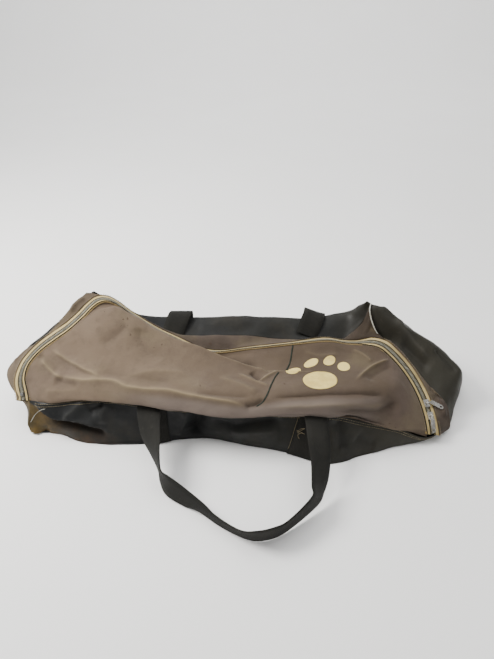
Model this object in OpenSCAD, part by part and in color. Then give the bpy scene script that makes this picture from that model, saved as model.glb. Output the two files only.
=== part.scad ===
// Long soft carry bag for training poles, lying zipped shut and partly collapsed.
// X runs along the bag, Y from front to back, Z up. The origin is on the floor, under
// the middle of the object's box. All lengths are in millimetres.

/* [Cloth] */
// Thickness of the solid that stands for a cloth wall
cloth_t = 2; // [1:0.5:3]
// Thickness of the stiffened bottom panel
base_t = 3; // [2:0.5:5]
// Gap left between two cloth pieces where they are sewn together
seam_gap = 1; // [0.5:0.5:2]

/* [Webbing] */
// Width of the webbing
strap_w = 50; // [38:1:50]
// Thickness of the webbing
strap_t = 2.4; // [1.5:0.1:3]
// Thickness of the piping cord along the end seams
piping_d = 1.8; // [1:0.1:2]

/* [Zip] */
// Width of one side tape, from the teeth to its sewn edge
tape_w = 13; // [8:1:13]
// Thickness of the side tapes
tape_t = 1; // [0.6:0.1:1.2]
// Width of one row of teeth
teeth_w = 2.9; // [2:0.1:3]
// Height of the teeth
teeth_h = 3.2; // [2:0.2:3.4]
// Length of a slider's body
slider_l = 16; // [12:1:18]
// Length of the flat part of a puller
puller_l = 28; // [20:1:32]
// Width of a puller
puller_w = 9; // [6:0.5:10]

/* [Hidden] */
$fn = 48;

// The rails below are drawn about a point inside the bag. This shift puts the origin
// under the middle of the whole object.
shift = [2.6, 64.5, 0];

wall_foot = base_t + 1.6;
charcoal = [0.2, 0.2, 0.19];
taupe = [0.5, 0.45, 0.39];
webbing = [0.18, 0.18, 0.17];
cream = [0.8, 0.75, 0.58];
nickel = [0.8, 0.8, 0.82];

// ---- Front of the bag, each rail from left to right ----
// Foot of the front wall
front_foot = [
  [-445, -112, wall_foot], [-392, -112, wall_foot], [-340, -132, wall_foot],
  [-270, -139, wall_foot], [-190, -137, wall_foot], [-100, -124, wall_foot],
  [-10, -140, wall_foot], [80, -160, wall_foot], [160, -186, wall_foot],
  [230, -168, wall_foot], [300, -147, wall_foot], [360, -132, wall_foot],
  [404, -112, wall_foot]
];
// Seam between the dark front wall and the canvas fold above it
front_seam = [
  [-436, -84, 68], [-392, -94, 66], [-340, -92, 73], [-270, -98, 82], [-190, -112, 86],
  [-100, -130, 90], [-10, -138, 86], [80, -136, 88], [160, -135, 84], [230, -135, 64],
  [300, -134, 43], [352, -139, 20], [398, -119, 10]
];
// Lower edge, foremost line and top of the overhanging canvas fold
fold_foot = [
  [-436, -84, 72], [-392, -94, 70], [-340, -92, 77], [-270, -98, 86], [-190, -112, 90],
  [-100, -130, 94], [-10, -138, 90], [80, -136, 92], [160, -135, 88], [230, -135, 68],
  [300, -134, 47], [353, -137, 27]
];
fold_front = [
  [-437, -72, 90], [-392, -90, 90], [-340, -97, 93], [-270, -110, 98], [-190, -127, 101],
  [-100, -146, 101], [-10, -153, 96], [80, -145, 99], [160, -143, 97], [230, -136, 90],
  [300, -113, 81], [352, -96, 48]
];
fold_top = [
  [-440, -44, 116], [-392, -50, 119], [-340, -66, 121], [-270, -87, 122],
  [-190, -103, 125], [-100, -116, 123], [-10, -129, 114], [80, -114, 118],
  [160, -110, 120], [230, -106, 118], [296, -84, 106], [342, -58, 69]
];

// ---- Lid, from its fold line at the front to the zip at the back ----
lid_front = [
  [-438, -40, 120], [-390, -47, 122], [-340, -63, 124], [-270, -84, 125],
  [-190, -100, 128], [-100, -113, 126], [-10, -126, 117], [80, -111, 121],
  [160, -107, 123], [230, -103, 121], [294, -81, 108], [337, -53, 72]
];
lid_middle = [
  [-387, 1, 160], [-345, 0, 161], [-292, -5, 160], [-240, -15, 150], [-190, -32, 138],
  [-100, -56, 121], [-10, -74, 112], [80, -45, 108], [160, -40, 110], [230, -36, 114],
  [285, -30, 108], [320, -22, 91]
];
lid_ridge = [
  [-338, 39, 184], [-314, 56, 192], [-284, 63, 195], [-245, 56, 180], [-190, 38, 154],
  [-100, 8, 128], [0, -25, 108], [90, -5, 105], [170, 8, 112], [222, 10, 112],
  [262, 8, 113], [298, 3, 108]
];
lid_back = [
  [-306, 70, 197], [-292, 74, 191], [-272, 74, 182], [-244, 68, 167], [-178, 47, 132],
  [-92, 20, 107], [7, 26, 109], [94, 31, 116], [171, 36, 122], [216, 37, 116],
  [250, 31, 117], [282, 15, 119]
];

// ---- Zip: left leg, corner and back leg, with the way the tape faces ----
zip_line = [
  [-458, -76, 75], [-464, -55, 100], [-458, -35, 120], [-446, -19, 133], [-428, -1, 145],
  [-402, 16, 158], [-377, 31, 170], [-354, 54, 182], [-336, 74, 194], [-320, 88, 200],
  [-302, 95, 197], [-280, 95, 183], [-250, 88, 160], [-180, 65, 125], [-92, 38, 104],
  [7, 45, 109], [94, 50, 117], [171, 55, 124], [216, 56, 116], [250, 50, 119],
  [275, 42, 121]
];
zip_face = [
  [-2, -7, 6], [-3, -5, 8], [-4, -4, 8], [-4, -3, 9], [-4, -3, 9],
  [-4, -3, 9], [-4, -3, 9], [-3, -2, 9], [-2, -1, 9], [0, 0, 9],
  [3, 2, 9], [3, 3, 8], [3, 4, 8], [2, 4, 9], [0, 1, 9],
  [0, 0, 9], [0, 0, 9], [0, -1, 9], [0, -1, 9], [1, -2, 9],
  [2, -3, 9]
];
// Places along that line, as list positions: where the lid's fold line meets it, and
// where the band outside it has its corner gap and its end
zip_lid_start = 2.6;
left_band_stop = 8.4;
back_band_from = 10;
back_band_to = 19.6;

// Right leg of the zip: an arc about one centre, so a slider can run along it
arc_centre = [147, -140, 68];
arc_low_end = [375, -136, 22];
arc_normal = unit([0.18, -0.44, 0.88]);
arc_r = 232;
arc_x = unit(across(arc_low_end - arc_centre, arc_normal));
arc_y = cross(arc_normal, arc_x);
// Angles from its low end, in degrees
arc_top = 53;
arc_lid_start = 26;
upper_slider_at = 16.5;
lower_slider_at = 10;
stop_at = 1.4;
// How far each puller's blade is turned from its neck, in degrees
upper_blade_turn = -38;
lower_blade_turn = -10;

// ---- Canvas band outside the zip ----
left_band_edge = [
  [-446, -80, 66], [-479, -58, 75], [-501, -30, 90], [-499, -6, 105], [-468, 16, 129],
  [-436, 26, 144], [-396, 62, 173], [-371, 84, 193], [-348, 106, 206]
];
back_band_edge = [
  [-342, 112, 207], [-300, 112, 175], [-240, 102, 131], [-140, 74, 101], [-95, 80, 107],
  [7, 80, 107], [63, 80, 99], [120, 76, 99], [187, 76, 100], [221, 77, 102],
  [250, 86, 140], [273, 95, 184]
];
right_band_edge = [
  [313, 49, 118], [334, 30, 105], [360, -2, 85], [385, -38, 71], [398, -60, 64],
  [411, -74, 52], [416, -88, 40], [417, -107, 18], [402, -118, 12]
];

// ---- Dark ends and back ----
back_wall_top = [
  [-338, 117, 205], [-300, 117, 171], [-240, 107, 127], [-140, 79, 97], [-95, 85, 103],
  [7, 85, 103], [63, 85, 95], [120, 81, 95], [187, 81, 96], [221, 82, 98],
  [247, 91, 136], [270, 100, 180]
];
back_wall_ridge = [
  [-342, 121, 206], [-300, 124, 170], [-245, 126, 130], [-155, 130, 120], [-95, 130, 122],
  [7, 130, 124], [63, 130, 121], [123, 130, 117], [187, 130, 126], [236, 130, 140],
  [254, 122, 162], [270, 106, 184]
];
back_wall_mid = [
  [-370, 142, 118], [-320, 148, 95], [-250, 151, 72], [-155, 157, 62], [-95, 158, 62],
  [7, 158, 62], [63, 158, 60], [123, 158, 60], [187, 157, 64], [236, 156, 70],
  [300, 150, 85], [364, 129, 95]
];
back_wall_foot = [
  [-426, 149, wall_foot], [-350, 151, wall_foot], [-250, 152, wall_foot],
  [-155, 152, wall_foot], [-95, 152, wall_foot], [7, 152, wall_foot],
  [63, 152, wall_foot], [123, 152, wall_foot], [187, 152, wall_foot],
  [270, 152, wall_foot], [370, 151, wall_foot], [462, 149, wall_foot]
];
left_end_top = [
  [-450, -86, 60], [-484, -62, 71], [-506, -30, 85], [-504, -3, 100], [-473, 21, 124],
  [-441, 32, 140], [-400, 67, 168], [-375, 89, 187], [-350, 112, 201]
];
left_end_mid = [
  [-448, -100, 35], [-460, -75, 40], [-468, -40, 45], [-472, 0, 50], [-472, 40, 60],
  [-465, 80, 75], [-450, 112, 88], [-425, 132, 100], [-376, 138, 118]
];
left_end_foot = [
  [-447, -110, wall_foot], [-453, -90, wall_foot], [-458, -50, wall_foot],
  [-462, 0, wall_foot], [-462, 50, wall_foot], [-458, 95, wall_foot],
  [-452, 120, wall_foot], [-444, 138, wall_foot], [-431, 148, wall_foot]
];
right_end_top = [
  [279, 95, 182], [297, 73, 148], [317, 52, 113], [339, 33, 99], [365, 0, 79],
  [390, -36, 65], [403, -57, 58], [416, -72, 46], [421, -88, 34], [422, -107, 14],
  [409, -114, 7]
];
right_end_ridge = [
  [286, 98, 182], [306, 88, 176], [332, 70, 163], [366, 59, 140], [399, 46, 120],
  [430, 22, 100], [459, -4, 80], [456, -30, 50], [447, -50, 22], [428, -89, 11],
  [411, -108, 6]
];
right_end_foot = [
  [466, 146, wall_foot], [477, 135, wall_foot], [490, 115, wall_foot],
  [500, 95, wall_foot], [503, 78, wall_foot], [500, 55, wall_foot],
  [488, 25, wall_foot], [472, -10, wall_foot], [456, -35, wall_foot],
  [430, -82, wall_foot], [408, -106, wall_foot]
];

// ---- Handle loops: centre line of the webbing, and the way its width runs ----
front_loop = [
  [-193, -125, 86], [-196, -136, 60], [-190, -163, 35], [-176, -200, 28],
  [-157, -232, 27], [-117, -268, 27], [-61, -313, 27], [-12, -338, 27], [17, -343, 27],
  [47, -340, 27], [77, -325, 27], [106, -299, 27], [125, -272, 29], [137, -240, 36],
  [140, -208, 48], [138, -172, 66], [135, -149, 86]
];
front_loop_width = [
  [1, 0, 0], [1, 0, 0], [1, 0, 0.1], [0.9, 0.1, 0.4], [0.4, 0.2, 0.9], [0, 0, 1],
  [0, 0, 1], [0, -0.2, 1], [0, -0.2, 1], [0, -0.2, 1], [0, 0, 1], [-0.1, 0, 1],
  [0.4, -0.2, 0.9], [0.9, -0.1, 0.4], [1, 0, 0], [1, 0, 0], [1, 0, 0]
];
rear_loop = [
  [-165, 92, 121], [-158, 108, 129], [-152, 125, 137], [-151, 142, 130],
  [-153, 159, 100], [-156, 169, 60], [-148, 184, 34], [-120, 203, 27], [-70, 215, 27],
  [0, 219, 27], [70, 215, 27], [126, 203, 27], [156, 184, 36], [162, 169, 64],
  [160, 159, 102], [157, 142, 130], [155, 125, 137], [146, 106, 127], [136, 90, 119]
];
rear_loop_width = [
  [1, 0, 0], [1, 0, 0], [1, 0, 0], [1, 0, 0], [1, 0, 0], [1, 0, 0.1], [0.7, 0, 0.7],
  [0.1, 0, 1], [0, 0, 1], [0, 0, 1], [0, 0, 1], [-0.1, 0, 1], [-0.7, 0, 0.7],
  [-1, 0, 0.1], [-1, 0, 0], [-1, 0, 0], [-1, 0, 0], [-1, 0, 0], [-1, 0, 0]
];

// ---- Curves and surfaces ----
function unit(v) = v / norm(v);

// The part of v that is square to the unit vector n
function across(v, n) = v - (v * n) * n;

// Smooth curve through four points, at t between the middle two
function smooth(a, b, c, d, t) =
  0.5 * (2 * b + (c - a) * t + (2 * a - 5 * b + 4 * c - d) * t * t
         + (3 * b - a - 3 * c + d) * t * t * t);

// Point of a rail at list position s, which need not be whole
function at(p, s) =
  let (n = len(p) - 1, i = min(max(floor(s), 0), n - 1), t = s - i,
       before = i > 0 ? p[i - 1] : 2 * p[0] - p[1],
       after = i < n - 1 ? p[i + 2] : 2 * p[n] - p[n - 1])
  smooth(before, p[i], p[i + 1], after, t);

// Point of a rail at u, from 0 at its start to 1 at its end
function along(p, u) = at(p, u * (len(p) - 1));

// Direction of a rail at list position s
function heading(p, s) = unit(at(p, s + 0.02) - at(p, s - 0.02));

// Grid of points on the surface that the rails span: one row per step across them
function patch(rails, nu, nv, u = [0, 1], v = [0, 1]) = [
  for (j = [0:nv]) [
    for (i = [0:nu])
      along([for (r = rails) along(r, u[0] + (u[1] - u[0]) * i / nu)],
            v[0] + (v[1] - v[0]) * j / nv)
  ]
];

// Outward direction of a grid at column i and row j
function grid_normal(g, i, j, side) =
  let (nu = len(g[0]) - 1, nv = len(g) - 1,
       du = g[j][min(i + 1, nu)] - g[j][max(i - 1, 0)],
       dv = g[min(j + 1, nv)][i] - g[max(j - 1, 0)][i])
  side * unit(cross(du, dv));

// Closed sheet along a grid, from `low` to `high` above it. side is 1 where the
// outer face is the one whose normal is cross(along a row, across the rows), else -1.
module sheet(g, high = 0, low = -cloth_t, side = 1) {
  nu = len(g[0]) - 1;
  nv = len(g) - 1;
  n = (nu + 1) * (nv + 1);
  function id(i, j) = j * (nu + 1) + i;
  function turn(f) = side > 0 ? f : [for (k = [len(f) - 1:-1:0]) f[k]];
  upper = [for (j = [0:nv]) for (i = [0:nu]) g[j][i] + high * grid_normal(g, i, j, side)];
  lower = [for (j = [0:nv]) for (i = [0:nu]) g[j][i] + low * grid_normal(g, i, j, side)];
  rim = concat([for (i = [0:nu - 1]) id(i, 0)], [for (j = [0:nv - 1]) id(nu, j)],
               [for (i = [nu:-1:1]) id(i, nv)], [for (j = [nv:-1:1]) id(0, j)]);
  m = len(rim);
  faces = concat(
    [for (j = [0:nv - 1]) for (i = [0:nu - 1]) [id(i, j), id(i + 1, j + 1), id(i + 1, j)]],
    [for (j = [0:nv - 1]) for (i = [0:nu - 1]) [id(i, j), id(i, j + 1), id(i + 1, j + 1)]],
    [for (j = [0:nv - 1]) for (i = [0:nu - 1])
      [n + id(i, j), n + id(i + 1, j), n + id(i + 1, j + 1)]],
    [for (j = [0:nv - 1]) for (i = [0:nu - 1])
      [n + id(i, j), n + id(i + 1, j + 1), n + id(i, j + 1)]],
    [for (k = [0:m - 1]) [rim[k], rim[(k + 1) % m], n + rim[(k + 1) % m]]],
    [for (k = [0:m - 1]) [rim[k], n + rim[(k + 1) % m], n + rim[k]]]);
  translate(shift)
    polyhedron(points = concat(upper, lower), faces = [for (f = faces) turn(f)]);
}

// Round cord of radius r along a rail
module cord(p, r, steps) {
  sides = 8;
  centre = [for (k = [0:steps]) along(p, k / steps)];
  ring = [for (k = [0:steps])
    let (t = heading(p, k / steps * (len(p) - 1)), a = unit(cross(t, [0, 0, 1])),
         b = cross(a, t))
    [for (q = [0:sides - 1]) centre[k] + r * (a * cos(360 * q / sides)
                                              + b * sin(360 * q / sides))]];
  walls = [for (k = [0:steps - 1]) for (q = [0:sides - 1])
    let (w = (q + 1) % sides)
    [k * sides + q, k * sides + w, (k + 1) * sides + w, (k + 1) * sides + q]];
  first = [for (q = [sides - 1:-1:0]) q];
  last = [for (q = [0:sides - 1]) steps * sides + q];
  split = concat([for (f = walls) [f[0], f[1], f[2]]], [for (f = walls) [f[0], f[2], f[3]]]);
  translate(shift)
    polyhedron(points = [for (r = ring) for (p = r) p], faces = concat(split, [first, last]));
}

// Point beside the zip's left and back legs: s is the place along them, side is how far
// out from the middle of the teeth, and up is how far above the tape
function beside_zip(s, side, up = 0) =
  let (t = heading(zip_line, s), n = unit(across(at(zip_face, s), t)))
  at(zip_line, s) + side * cross(n, t) + up * n;

// Point beside the right leg, at an angle from its low end
function beside_arc(a, side) = arc_centre + (arc_r + side) * (arc_x * cos(a) + arc_y * sin(a));

// Strip that runs along the left and back legs
module zip_strip(from, to, inner, outer, high, low, steps) {
  sheet([for (side = [inner, outer])
    [for (k = [0:steps]) beside_zip(from + (to - from) * k / steps, side)]], high, low);
}

// Strip along the right leg, as a true arc
module arc_strip(from, to, inner, outer, high, low) {
  on_arc() rotate([0, 0, from]) rotate_extrude(angle = to - from, $fn = 180)
    translate([arc_r + inner, low]) square([outer - inner, high - low]);
}

// Puts a child that is drawn about the right leg's centre into its place
module on_arc() {
  o = arc_centre + shift;
  multmatrix([
    [arc_x.x, arc_y.x, arc_normal.x, o.x],
    [arc_x.y, arc_y.y, arc_normal.y, o.y],
    [arc_x.z, arc_y.z, arc_normal.z, o.z],
    [0, 0, 0, 1]
  ]) children();
}

// Webbing along a route, with its width turned as the second list says
module loop(route, width, steps, side) {
  n = len(route) - 1;
  sheet([for (e = [-0.5, 0.5])
    [for (k = [0:steps])
      let (s = n * k / steps, t = heading(route, s))
      at(route, s) + e * strap_w * unit(across(at(width, s), t))]],
    strap_t / 2, -strap_t / 2, side);
}

// ---- Dark tub ----
module base_panel() {
  outline = concat(front_foot, [for (k = [len(right_end_foot) - 1:-1:0]) right_end_foot[k]],
    [for (k = [len(back_wall_foot) - 1:-1:0]) back_wall_foot[k]],
    [for (k = [len(left_end_foot) - 1:-1:0]) left_end_foot[k]]);
  color(charcoal) translate(shift) linear_extrude(base_t)
    polygon([for (p = outline) [p.x, p.y]]);
}

module front_wall() {
  color(charcoal) sheet(patch([front_foot, front_seam], 36, 4));
}

module back_wall() {
  color(charcoal) sheet(patch([back_wall_top, back_wall_ridge, back_wall_mid,
                               back_wall_foot], 33, 9), side = -1);
}

module left_end_wall() {
  color(charcoal) sheet(patch([left_end_top, left_end_mid, left_end_foot], 16, 6));
}

module right_end_wall() {
  color(charcoal) sheet(patch([right_end_top, right_end_ridge, right_end_foot], 20, 6));
}

// ---- Canvas ----
module front_fold() {
  color(taupe) sheet(patch([fold_foot, fold_front, fold_top], 33, 6));
}

module lid_panel() {
  color(taupe) sheet(patch([lid_front, lid_middle, lid_ridge, lid_back], 33, 12));
}

band_start = teeth_w + tape_w + 1 + seam_gap;

module left_end_band() {
  steps = 16;
  near = [for (k = [0:steps]) beside_zip(left_band_stop * k / steps, band_start)];
  far = [for (k = [0:steps]) along(left_band_edge, k / steps)];
  color(taupe) sheet(patch([near, far], steps, 3), side = -1);
}

module back_band() {
  steps = 33;
  near = [for (k = [0:steps])
    beside_zip(back_band_from + (back_band_to - back_band_from) * k / steps, band_start + 2)];
  far = [for (k = [0:steps]) along(back_band_edge, k / steps)];
  color(taupe) sheet(patch([near, far], steps, 4));
}

module right_end_band() {
  steps = 18;
  low_end = 1;
  near = [for (k = [0:steps])
    beside_arc(arc_top - (arc_top - low_end) * k / steps, band_start)];
  far = [for (k = [0:steps]) along(right_band_edge, k / steps)];
  color(taupe) sheet(patch([near, far], steps, 3));
}

// ---- Zip ----
teeth_gap = 0.7;
tape_start = teeth_gap + teeth_w + 0.2;
tape_end = tape_start + tape_w - 0.5;
zip_end = len(zip_line) - 1;

module band_tape() {
  color(cream) zip_strip(0, zip_end, tape_start, tape_end, tape_t / 2, -tape_t / 2, 64);
  color(cream) arc_strip(0.5, arc_top, tape_start, tape_end, tape_t / 2, -tape_t / 2);
}

module band_teeth() {
  color(cream)
    zip_strip(0, zip_end, teeth_gap, teeth_gap + teeth_w, teeth_h / 2, -teeth_h / 2, 64);
  color(cream)
    arc_strip(1, arc_top, teeth_gap, teeth_gap + teeth_w, teeth_h / 2, -teeth_h / 2);
}

// Lower ends of the lid's side of the zip, which stay with the front fold
module fold_tape() {
  color(cream)
    zip_strip(0, zip_lid_start, -tape_end, -tape_start, tape_t / 2, -tape_t / 2, 10);
  color(cream)
    arc_strip(0.5, arc_lid_start, -tape_end, -tape_start, tape_t / 2, -tape_t / 2);
}

module fold_teeth() {
  color(cream) zip_strip(0, zip_lid_start, -teeth_gap - teeth_w, -teeth_gap,
                         teeth_h / 2, -teeth_h / 2, 10);
  color(cream) arc_strip(1, arc_lid_start, -teeth_gap - teeth_w, -teeth_gap,
                         teeth_h / 2, -teeth_h / 2);
}

module lid_tape() {
  color(cream) zip_strip(zip_lid_start + 0.05, zip_end, -tape_end, -tape_start,
                         tape_t / 2, -tape_t / 2, 56);
  color(cream) arc_strip(arc_lid_start + 0.3, arc_top, -tape_end, -tape_start,
                         tape_t / 2, -tape_t / 2);
}

module lid_teeth() {
  color(cream) zip_strip(zip_lid_start + 0.05, zip_end, -teeth_gap - teeth_w, -teeth_gap,
                         teeth_h / 2, -teeth_h / 2, 56);
  color(cream) arc_strip(arc_lid_start + 0.3, arc_top, -teeth_gap - teeth_w, -teeth_gap,
                         teeth_h / 2, -teeth_h / 2);
}

// A pressed metal stop above the teeth at each end of the zip
module end_stops() {
  stop = [7, 5, 1.6];
  stop_span = [0.02, 0.2];
  low = teeth_h / 2 + 0.2;
  color(nickel) on_arc() rotate([0, 0, stop_at]) translate([arc_r - stop.x / 2, 0, low]) cube(stop);
  color(nickel) sheet([for (side = [-stop.x / 2, stop.x / 2])
    [for (s = stop_span) beside_zip(s, side, low)]], stop.z, 0);
}

// One slider, drawn flat about its own middle: X across the zip, Y up the zip.
// The puller turns on a round bar: along the zip, or across it.
bar_r = 1;
bar_z = 7;
module slider(bar_along) {
  channel = teeth_h / 2 + 0.6;
  plate_t = 1.6;
  flange = 2;
  inner = teeth_gap + teeth_w + 0.6;
  outer = inner + flange;
  flange_low = 1.1;
  web = [0.8, 5];
  ear = [2.4, 2];
  ear_gap = 3.6;
  for (s = [1, -1]) mirror([0, 0, s > 0 ? 0 : 1]) {
    translate([-outer, -slider_l / 2, channel]) cube([2 * outer, slider_l, plate_t]);
    for (e = [1, -1])
      translate([e * (inner + outer) / 2 - flange / 2, -slider_l / 2, flange_low])
        cube([flange, slider_l, channel - flange_low]);
  }
  translate([-web.x / 2, slider_l / 2 - web.y - 1, -channel])
    cube([web.x, web.y, 2 * channel]);
  rotate([0, 0, bar_along ? 0 : 90]) {
    for (e = [1, -1])
      translate([-ear.x / 2, e * (ear_gap + ear.y) / 2 - ear.y / 2, channel + plate_t])
        cube([ear.x, ear.y, bar_z - channel - plate_t]);
    translate([0, -ear_gap / 2 - ear.y, bar_z]) rotate([-90, 0, 0])
      cylinder(r = bar_r, h = ear_gap + 2 * ear.y);
  }
}

// One puller, pointing along +X from its eye, which turns about Y
module puller(skew) {
  eye_l = 3;
  eye_r = 2.4;
  neck = 9;
  thick = 1.8;
  hole_r = 2;
  round_at = puller_l - puller_w / 2;
  difference() {
    union() {
      rotate([-90, 0, 0]) translate([0, 0, -eye_l / 2]) cylinder(r = eye_r, h = eye_l);
      translate([0, -eye_l / 2, -thick / 2]) cube([neck, eye_l, thick]);
    }
    rotate([-90, 0, 0]) translate([0, 0, -eye_l]) cylinder(r = bar_r + 0.08, h = 2 * eye_l);
  }
  translate([neck, 0, -thick / 2]) rotate([0, 0, skew]) difference() {
    union() {
      translate([-1, -puller_w / 2, 0]) cube([round_at, puller_w, thick]);
      translate([round_at - 1, 0, 0]) cylinder(r = puller_w / 2, h = thick);
    }
    translate([round_at - hole_r, 0, -1]) cylinder(r = hole_r, h = thick + 2);
  }
}

module upper_slider() {
  color(nickel) on_arc() rotate([0, 0, upper_slider_at]) translate([arc_r, 0, 0]) slider(true);
}

module upper_puller() {
  color(nickel) on_arc() rotate([0, 0, upper_slider_at]) translate([arc_r, 0, bar_z])
    puller(upper_blade_turn);
}

module lower_slider() {
  color(nickel) on_arc() rotate([0, 0, lower_slider_at]) translate([arc_r, 0, 0]) slider(false);
}

module lower_puller() {
  color(nickel) on_arc() rotate([0, 0, lower_slider_at]) translate([arc_r, 0, bar_z])
    rotate([0, 0, -90]) puller(lower_blade_turn);
}

// ---- Piping and webbing ----
module left_piping() {
  p = [for (k = [0:8]) 0.47 * left_band_edge[k] + 0.53 * left_end_top[k]];
  color(cream) cord(p, piping_d / 2, 24);
}

module right_piping() {
  p = concat([[274, 99, 189], [293, 74, 152]],
             [for (k = [0:8]) (right_band_edge[k] + right_end_top[k + 2]) / 2]);
  color(cream) cord(p, piping_d / 2, 24);
}

// Sewn run of webbing over a stretch u of the given wall, between heights v
module sewn_strap(rails, u, v, side) {
  color(webbing) sheet(patch(rails, 4, 12, u, v), strap_t + 2, 2, side);
}

module front_strap_left() {
  sewn_strap([front_foot, front_seam], [0.309, 0.358], [0.02, 0.92], 1);
}

module front_strap_right() {
  sewn_strap([front_foot, front_seam], [0.613, 0.667], [0.02, 0.92], 1);
}

back_rails = [back_wall_top, back_wall_ridge, back_wall_mid, back_wall_foot];

module rear_strap_left() {
  sewn_strap(back_rails, [0.236, 0.278], [0.05, 0.99], -1);
}

module rear_strap_right() {
  sewn_strap(back_rails, [0.655, 0.727], [0.05, 0.99], -1);
}

module front_handle() {
  color(webbing) loop(front_loop, front_loop_width, 64, 1);
}

module rear_handle() {
  color(webbing) loop(rear_loop, rear_loop_width, 72, 1);
}

// ---- Print on the lid: one large pad and four small ones ----
pads = [[0.712, 0.17, 0.04, 0.15], [0.652, 0.4, 0.017, 0.09], [0.69, 0.53, 0.017, 0.095],
        [0.738, 0.53, 0.017, 0.095], [0.778, 0.39, 0.017, 0.09]];
module printed_mark() {
  steps = 6;
  rails = [lid_front, lid_middle, lid_ridge, lid_back];
  for (pad = pads)
    color(cream) sheet([for (j = [0:steps]) [for (i = [0:steps])
      let (a = 2 * i / steps - 1, b = 2 * j / steps - 1,
           u = pad[0] + pad[2] * a * sqrt(1 - b * b / 2),
           v = pad[1] + pad[3] * b * sqrt(1 - a * a / 2))
      along([for (r = rails) along(r, u)], v)]], 0.9, 0.4);
}

base_panel();
front_wall();
back_wall();
left_end_wall();
right_end_wall();
front_fold();
left_end_band();
back_band();
right_end_band();
band_tape();
band_teeth();
fold_tape();
fold_teeth();
end_stops();
left_piping();
right_piping();
front_strap_left();
front_strap_right();
rear_strap_left();
rear_strap_right();
lid_panel();
lid_tape();
lid_teeth();
printed_mark();
front_handle();
rear_handle();
upper_slider();
upper_puller();
lower_slider();
lower_puller();
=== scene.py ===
import bpy
import math
import numpy as np
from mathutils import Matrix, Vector, noise


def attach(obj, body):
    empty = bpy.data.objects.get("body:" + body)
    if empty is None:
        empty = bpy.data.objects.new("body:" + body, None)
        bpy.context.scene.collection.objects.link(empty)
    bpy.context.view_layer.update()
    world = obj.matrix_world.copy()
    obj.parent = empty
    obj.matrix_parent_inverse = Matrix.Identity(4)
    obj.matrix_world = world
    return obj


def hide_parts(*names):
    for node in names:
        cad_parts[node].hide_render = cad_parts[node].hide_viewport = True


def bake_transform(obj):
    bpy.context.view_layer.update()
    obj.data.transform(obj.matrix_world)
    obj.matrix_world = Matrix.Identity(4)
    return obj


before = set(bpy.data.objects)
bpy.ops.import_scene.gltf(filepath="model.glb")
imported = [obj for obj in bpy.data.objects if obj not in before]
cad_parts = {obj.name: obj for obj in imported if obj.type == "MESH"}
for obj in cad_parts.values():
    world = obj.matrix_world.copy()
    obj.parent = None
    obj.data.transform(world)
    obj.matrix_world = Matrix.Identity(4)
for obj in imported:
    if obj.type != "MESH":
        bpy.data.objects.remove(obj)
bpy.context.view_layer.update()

# Rails and grids are in millimetres about a point inside the bag, as in the CAD. SHIFT moves
# them into the part's frame. Left and right are as seen from the front.
SHIFT = np.array([2.6, 64.5, 0.0])
MM = 0.001


def metres(p):
    return (np.asarray(p, float) + SHIFT) * MM


# ---- curves and grids
def unit(v):
    v = np.asarray(v, float)
    return v / np.maximum(np.linalg.norm(v, axis=-1, keepdims=True), 1e-9)


def at(rail, s):
    """Points of a Catmull-Rom rail at list positions s."""
    p = np.asarray(rail, float)
    s = np.atleast_1d(np.asarray(s, float))
    n = len(p) - 1
    p = np.concatenate([[2 * p[0] - p[1]], p, [2 * p[n] - p[n - 1]]])
    i = np.clip(np.floor(s).astype(int), 0, n - 1)
    t = (s - i).reshape((-1,) + (1,) * (p.ndim - 1))
    a, b, c, d = p[i], p[i + 1], p[i + 2], p[i + 3]
    return 0.5 * (2 * b + (c - a) * t + (2 * a - 5 * b + 4 * c - d) * t**2
                  + (3 * b - a - 3 * c + d) * t**3)


def along(rail, u):
    return at(rail, np.asarray(u, float) * (len(rail) - 1))


def patch(rails, us, vs):
    """Grid of points on the surface that rails span: one row for each v."""
    return along(np.stack([along(r, us) for r in rails]), vs)


def heading(rail, s):
    return unit(at(rail, s + 0.02) - at(rail, s - 0.02))


def normals(grid, side=1):
    du = np.gradient(grid, axis=1)
    dv = np.gradient(grid, axis=0)
    return side * unit(np.cross(du, dv))


def sample(grid, u, v, rows=None):
    """Point of a grid at fractions u and v of its sides; rows gives each row's v."""
    nv, nu = grid.shape[:2]
    rows = np.linspace(0, 1, nv) if rows is None else rows
    x, y = np.clip(u, 0, 1) * (nu - 1), np.interp(v, rows, np.arange(nv))
    i = np.clip(np.floor(x).astype(int), 0, nu - 2)
    j = np.clip(np.floor(y).astype(int), 0, nv - 2)
    fx, fy = (x - i)[..., None], (y - j)[..., None]
    return ((grid[j, i] * (1 - fx) + grid[j, i + 1] * fx) * (1 - fy)
            + (grid[j + 1, i] * (1 - fx) + grid[j + 1, i + 1] * fx) * fy)


def run_along(line):
    """Length of a line up to each of its points."""
    return np.concatenate([[0], np.cumsum(np.linalg.norm(np.diff(line, axis=0), axis=1))])


def at_run(values, run, s):
    """Vectors given at lengths run, read off at lengths s."""
    return np.stack([np.interp(s, run, values[:, a]) for a in range(3)], axis=1)


def resample(line, fractions):
    """Points at fractions of a line's own length."""
    line = np.asarray(line, float)
    run = run_along(line)
    return at_run(line, run, fractions * run[-1])


def match(grid, edge, target, reach=0.12):
    """Moves one edge of a grid onto a target line. The move dies out inside the grid."""
    view = {"left": grid.swapaxes(0, 1), "right": grid.swapaxes(0, 1)[::-1], "foot": grid,
            "top": grid[::-1]}[edge]
    line = view[0]
    run = run_along(line)
    move = resample(target, run / run[-1]) - line
    fall = smoothstep(1 - np.arange(len(view)) / (reach * len(view)))
    view += fall[:, None, None] * move[None]
    return grid


def smoothstep(x):
    x = np.clip(x, 0, 1)
    return x * x * (3 - 2 * x)


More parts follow.
